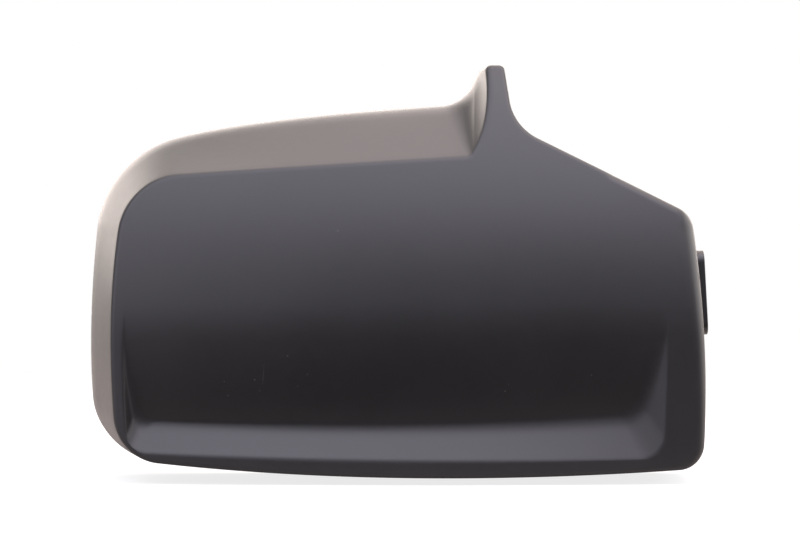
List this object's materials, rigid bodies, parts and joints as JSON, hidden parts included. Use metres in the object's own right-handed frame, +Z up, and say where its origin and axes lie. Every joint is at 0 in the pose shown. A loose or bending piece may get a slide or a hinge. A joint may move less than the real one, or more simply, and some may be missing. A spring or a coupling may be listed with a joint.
{
  "type": "wing mirror cover",
  "caption": "One-piece moulded housing for a wing mirror: a broad front face with a shallow recess, an upright horn, flared walls and an open back.",
  "frame": {"origin": "middle of the bounding box's base, below the sill on which the cover stands", "axes": "+X across the cover towards the arm opening, +Y from the front face to the open rim, +Z up"},
  "size_m": [0.311, 0.08, 0.2059],
  "materials": {
    "satin_black": "satin moulded plastic with a very fine grain"
  },
  "bodies": {
    "root": {"mirror_cover": "satin_black"}
  },
  "joints": []
}
